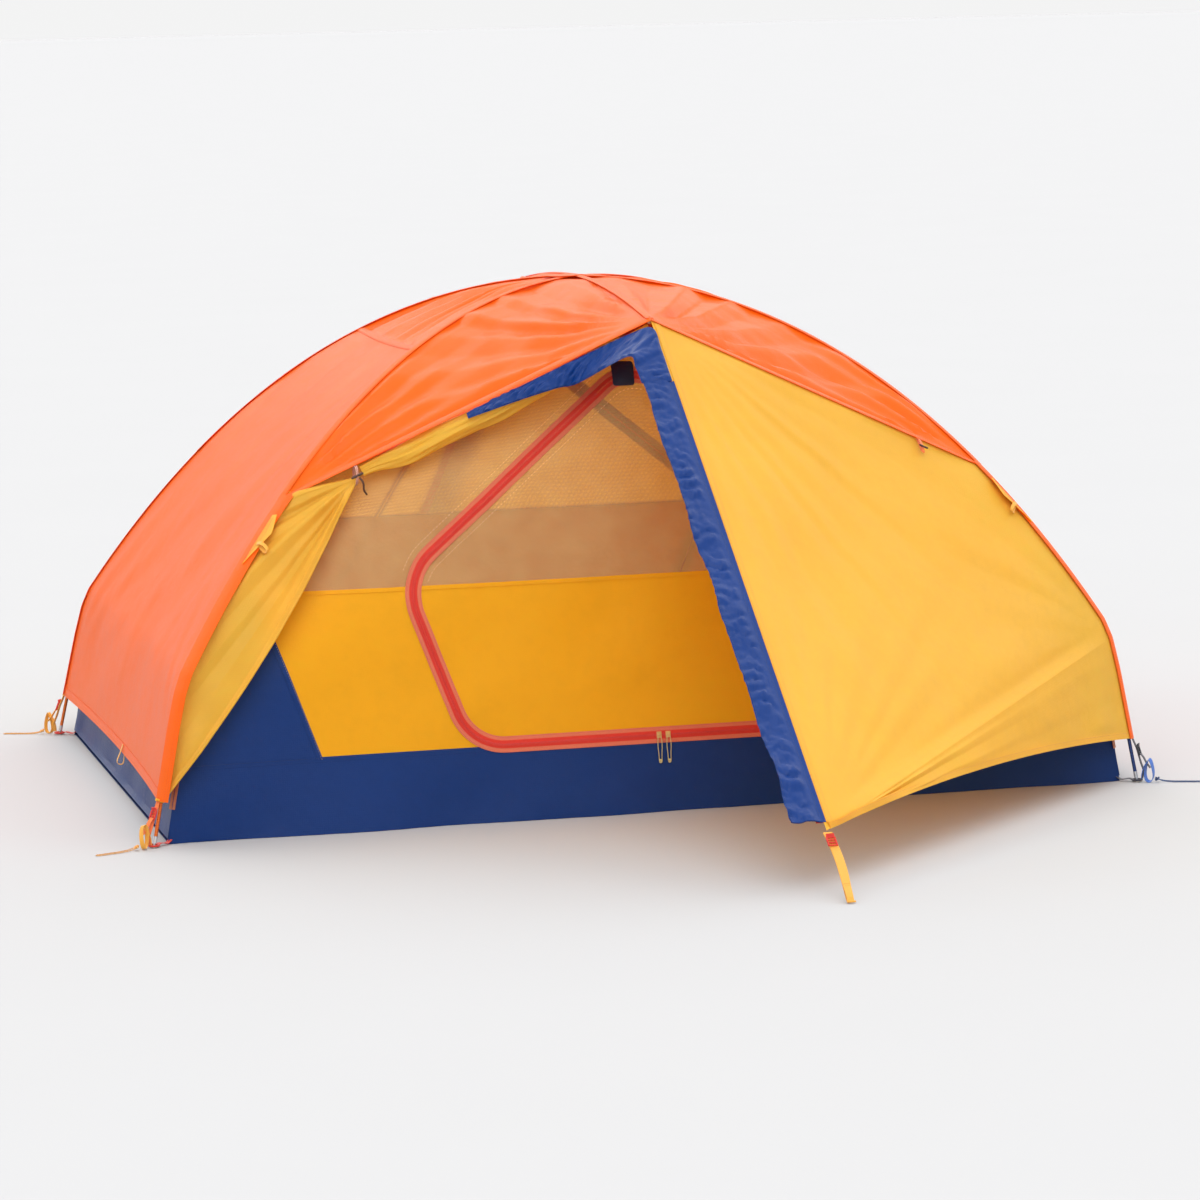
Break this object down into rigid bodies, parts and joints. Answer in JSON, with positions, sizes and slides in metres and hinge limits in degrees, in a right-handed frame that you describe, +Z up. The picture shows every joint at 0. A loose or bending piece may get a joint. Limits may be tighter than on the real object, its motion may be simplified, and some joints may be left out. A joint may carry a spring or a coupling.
{
  "type": "dome tent on poles",
  "caption": "Low freestanding dome tent: crossed poles and a brow pole carry a mesh inner tent and a coated fly with a porch on each long side; one porch half is tied back.",
  "frame": {"origin": "centre of the floor, on the ground", "axes": "+X along the tent towards the right-hand end seen from the front door, -Y towards the front door, +Z up"},
  "size_m": [2.6822, 4.1436, 1.2277],
  "materials": {
    "pole_orange": "anodised, satin",
    "pole_dark": "anodised, satin",
    "bare_metal": "bright",
    "shock_cord": "braided",
    "dark_plastic": "matt",
    "tub_cloth": "coated ripstop, soft gloss",
    "gold_cloth": "plain weave, matt",
    "mesh": "open knitted mesh",
    "dark_trim": "woven tape",
    "red_zip": "coil zip with woven tape",
    "slider_metal": "painted",
    "pull_cord": "braided cord",
    "fly_orange": "coated ripstop, soft gloss",
    "fly_amber": "coated ripstop, soft gloss",
    "flap_blue": "coated ripstop, soft gloss",
    "toggle": "matt",
    "webbing": "woven webbing",
    "red_plastic": "moulded",
    "corner_cord": "braided cord"
  },
  "bodies": {
    "root": {"pole_a_left": "pole_orange", "pole_a_right": "pole_dark", "pole_b_left": "pole_orange", "pole_b_right": "pole_dark", "brow_pole": "pole_dark", "pole_ferrules": "bare_metal", "pole_tips": "bare_metal", "shock_cords": "shock_cord", "crown_hub": "dark_plastic", "pole_clips": "dark_plastic", "tub_floor": "tub_cloth", "tub_walls": "tub_cloth", "corner_gussets": "tub_cloth", "inner_lower_walls": "gold_cloth", "inner_mesh_walls": "mesh", "inner_mesh_roof": "mesh", "zip_garages": "dark_trim", "door_zips": "red_zip", "fly_left": "fly_orange", "fly_right": "fly_orange", "fly_brow_panels": "fly_orange", "vestibule_front_right": "fly_amber", "vestibule_front_left": "fly_amber", "vestibule_back_right": "fly_amber", "vestibule_back_left": "fly_amber", "storm_flap_heads": "flap_blue", "fly_zips": "red_zip", "tieback_loops": "dark_trim", "tieback_toggles": "toggle", "guyout_tabs": "fly_amber", "corner_straps": "webbing", "corner_grommets": "bare_metal", "stake_loops": "webbing", "stake_straps": "webbing", "corner_cord_front_left": "corner_cord", "corner_cord_front_right": "corner_cord", "corner_cord_back_left": "corner_cord", "corner_cord_back_right": "corner_cord"},
    "front_door": {"front_door_lower": "gold_cloth", "front_door_mesh": "mesh"},
    "back_door": {"back_door_lower": "gold_cloth", "back_door_mesh": "mesh"},
    "front_zip_left": {"front_slider_left": "slider_metal", "front_pull_left": "pull_cord"},
    "front_zip_right": {"front_slider_right": "slider_metal", "front_pull_right": "pull_cord"},
    "back_zip_left": {"back_slider_left": "slider_metal", "back_pull_left": "pull_cord"},
    "back_zip_right": {"back_slider_right": "slider_metal", "back_pull_right": "pull_cord"},
    "fly_zip_front": {"fly_slider_front": "slider_metal"},
    "fly_zip_back": {"fly_slider_back": "slider_metal"},
    "flap_front": {"storm_flap_front": "flap_blue"},
    "flap_back": {"storm_flap_back": "flap_blue"},
    "buckle_front_left": {"corner_buckle_front_left": "red_plastic"},
    "buckle_front_right": {"corner_buckle_front_right": "red_plastic"},
    "buckle_back_left": {"corner_buckle_back_left": "red_plastic"},
    "buckle_back_right": {"corner_buckle_back_right": "red_plastic"},
    "stake_buckle_front_body": {"stake_buckle_front": "red_plastic"},
    "stake_buckle_back_body": {"stake_buckle_back": "red_plastic"}
  },
  "joints": [
    {"name": "front_door_swing", "type": "hinge", "parent": "root", "child": "front_door", "pos_m": [0.56, -0.8185, 0.18], "axis": [0.4963, -0.1496, -0.8552], "range_deg": [0, 60]},
    {"name": "front_zip_left_slide", "type": "slide", "parent": "root", "child": "front_zip_left", "axis": [1, 0, 0], "range_m": [-0.36, 0]},
    {"name": "front_zip_right_slide", "type": "slide", "parent": "root", "child": "front_zip_right", "axis": [1, 0, 0], "range_m": [0, 0.44]},
    {"name": "fly_zip_front_slide", "type": "slide", "parent": "root", "child": "fly_zip_front", "axis": [0.0443, -0.7516, -0.6581], "range_m": [0, 1.343]},
    {"name": "storm_flap_front_fold", "type": "hinge", "parent": "root", "child": "flap_front", "pos_m": [0.04986, -0.89862, 1.02736], "axis": [-0.0443, 0.7516, 0.6581], "range_deg": [0, 120]},
    {"name": "back_door_swing", "type": "hinge", "parent": "root", "child": "back_door", "pos_m": [-0.56, 0.8185, 0.18], "axis": [-0.4963, 0.1496, -0.8552], "range_deg": [0, 60]},
    {"name": "back_zip_left_slide", "type": "slide", "parent": "root", "child": "back_zip_left", "axis": [-1, 0, 0], "range_m": [-0.36, 0]},
    {"name": "back_zip_right_slide", "type": "slide", "parent": "root", "child": "back_zip_right", "axis": [-1, 0, 0], "range_m": [0, 0.44]},
    {"name": "fly_zip_back_slide", "type": "slide", "parent": "root", "child": "fly_zip_back", "axis": [-0.0962, 0.7488, -0.6557], "range_m": [0, 1.348]},
    {"name": "storm_flap_back_fold", "type": "hinge", "parent": "root", "child": "flap_back", "pos_m": [0.02126, 0.89862, 1.02736], "axis": [0.0962, -0.7488, 0.6557], "range_deg": [0, 120]},
    {"name": "corner_buckle_front_left_slide", "type": "slide", "parent": "root", "child": "buckle_front_left", "axis": [-0.3228, -0.2025, -0.9246], "range_m": [-0.005, 0.02]},
    {"name": "corner_buckle_front_right_slide", "type": "slide", "parent": "root", "child": "buckle_front_right", "axis": [0.2324, -0.2081, -0.9501], "range_m": [-0.005, 0.02]},
    {"name": "corner_buckle_back_left_slide", "type": "slide", "parent": "root", "child": "buckle_back_left", "axis": [-0.3228, 0.2025, -0.9246], "range_m": [-0.005, 0.02]},
    {"name": "corner_buckle_back_right_slide", "type": "slide", "parent": "root", "child": "buckle_back_right", "axis": [0.2324, 0.2081, -0.9501], "range_m": [-0.005, 0.02]},
    {"name": "stake_buckle_front_slide", "type": "slide", "parent": "root", "child": "stake_buckle_front_body", "axis": [0.0505, -0.7572, -0.6512], "range_m": [0, 0.11]},
    {"name": "stake_buckle_back_slide", "type": "slide", "parent": "root", "child": "stake_buckle_back_body", "axis": [-0.0505, 0.7572, -0.6512], "range_m": [0, 0.11]}
  ]
}
